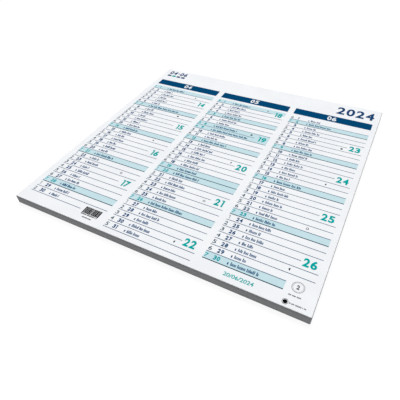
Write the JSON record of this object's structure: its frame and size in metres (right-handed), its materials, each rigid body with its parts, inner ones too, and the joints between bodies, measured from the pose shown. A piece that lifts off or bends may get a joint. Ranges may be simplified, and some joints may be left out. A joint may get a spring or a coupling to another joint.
{
  "type": "wall calendar",
  "caption": "Rigid square calendar board: day rows for three months under dark header bars, with week numbers and tinted days of rest.",
  "frame": {"origin": "centre of the board's back, which is the centre of the bottom of its bounding box", "axes": "+Z out of the printed face, +X across the months in the reading direction, +Y from the foot of the print to its head"},
  "size_m": [0.43, 0.43, 0.0132],
  "materials": {
    "board": "white coated paper over a rigid grey board",
    "header_ink": "printed deep blue, matte",
    "month_number_ink": "unprinted white",
    "band_tint": "printed pale teal tint, matte",
    "rule_ink": "printed grey, matte",
    "rest_rule_ink": "printed dark blue green, matte",
    "date_ink": "printed navy, matte",
    "rest_date_ink": "printed teal, matte",
    "week_ink": "printed bright teal, matte",
    "name_ink": "printed navy, matte",
    "season_ink": "printed teal, matte",
    "quarter_ink": "printed navy, matte",
    "current_quarter_ink": "printed bright teal, matte",
    "foot_ink": "printed black, matte"
  },
  "bodies": {
    "root": {"calendar_board": "board", "header_bars": "header_ink", "month_numbers": "month_number_ink", "rest_day_bands": "band_tint", "row_rules": "rule_ink", "rest_day_rules": "rest_rule_ink", "date_numbers": "date_ink", "rest_day_numbers": "rest_date_ink", "week_numbers": "week_ink", "name_marks": "name_ink", "season_line": "season_ink", "quarter_numbers": "quarter_ink", "current_quarter_bar": "current_quarter_ink", "foot_marks": "foot_ink"}
  },
  "joints": []
}
